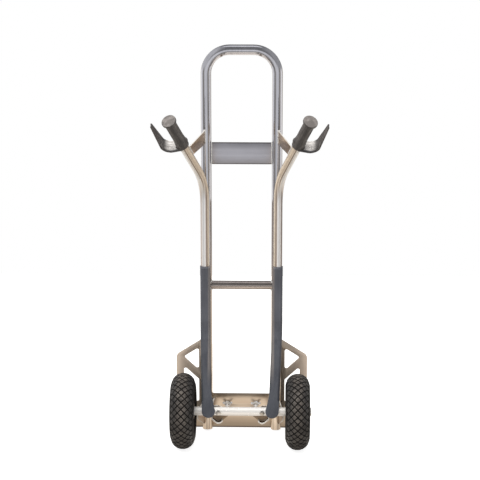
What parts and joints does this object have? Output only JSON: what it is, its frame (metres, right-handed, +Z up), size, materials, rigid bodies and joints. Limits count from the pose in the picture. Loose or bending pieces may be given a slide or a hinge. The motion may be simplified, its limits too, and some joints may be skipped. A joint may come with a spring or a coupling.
{
  "type": "hand truck",
  "caption": "Upright two-wheeled aluminium hand truck with a bent tube frame, guarded safety grips, stair skids, pneumatic wheels and a bolted folded toe plate.",
  "frame": {"origin": "on the floor, in the middle of the heel line where the flat underside of the toe blade starts", "axes": "+X to the right seen from behind, +Y forward over the toe blade, +Z up"},
  "size_m": [0.578, 0.5524, 1.36],
  "materials": {
    "bright_aluminium": "drawn and polished",
    "warm_aluminium": "mill finish",
    "zinc_steel": "bright zinc plated",
    "rim_steel": "silver lacquer",
    "skid_plastic": "extruded, satin",
    "grip_plastic": "moulded, fine grain",
    "tyre_rubber": "matt black, diamond tread",
    "tube_rubber": "matt black"
  },
  "bodies": {
    "frame": {"main_loop": "bright_aluminium", "top_cross_plate": "bright_aluminium", "mid_crossbar": "bright_aluminium", "lower_cross_plate": "warm_aluminium", "gusset_left": "warm_aluminium", "gusset_right": "warm_aluminium", "handle_tube_left": "warm_aluminium", "handle_tube_right": "warm_aluminium", "grip_left": "grip_plastic", "grip_right": "grip_plastic", "skid_left": "skid_plastic", "skid_right": "skid_plastic", "toe_plate": "warm_aluminium", "toe_bolts": "zinc_steel", "toe_washers": "zinc_steel", "axle_tube": "bright_aluminium", "axle_rod": "zinc_steel", "axle_bracket_left": "warm_aluminium", "axle_bracket_right": "warm_aluminium", "axle_cheek_left": "warm_aluminium", "axle_cheek_right": "warm_aluminium", "axle_bolts": "zinc_steel", "axle_nuts": "zinc_steel", "hub_washers": "zinc_steel", "axle_caps": "zinc_steel"},
    "wheel_left": {"tyre_left": "tyre_rubber", "inner_tube_left": "tube_rubber", "rim_outer_left": "rim_steel", "rim_inner_left": "rim_steel", "rim_bolts_left": "zinc_steel", "rim_nuts_left": "zinc_steel", "hub_left": "zinc_steel", "bearings_left": "zinc_steel", "bearing_spacer_left": "zinc_steel"},
    "wheel_right": {"tyre_right": "tyre_rubber", "inner_tube_right": "tube_rubber", "rim_outer_right": "rim_steel", "rim_inner_right": "rim_steel", "rim_bolts_right": "zinc_steel", "rim_nuts_right": "zinc_steel", "hub_right": "zinc_steel", "bearings_right": "zinc_steel", "bearing_spacer_right": "zinc_steel"},
    "wing_nut_left_body": {"wing_nut_left": "zinc_steel"},
    "wing_nut_right_body": {"wing_nut_right": "zinc_steel"}
  },
  "joints": [
    {"name": "wheel_left_spin", "type": "hinge", "parent": "frame", "child": "wheel_left", "pos_m": [-0.195, -0.2026, 0.13], "axis": [1, 0, 0], "continuous": true},
    {"name": "wheel_right_spin", "type": "hinge", "parent": "frame", "child": "wheel_right", "pos_m": [0.195, -0.2026, 0.13], "axis": [1, 0, 0], "continuous": true},
    {"name": "wing_nut_left_turn", "type": "hinge", "parent": "frame", "child": "wing_nut_left_body", "pos_m": [-0.05, -0.03, 0.0925], "axis": [0, 1, 0], "continuous": true},
    {"name": "wing_nut_right_turn", "type": "hinge", "parent": "frame", "child": "wing_nut_right_body", "pos_m": [0.05, -0.03, 0.0925], "axis": [0, 1, 0], "continuous": true}
  ]
}
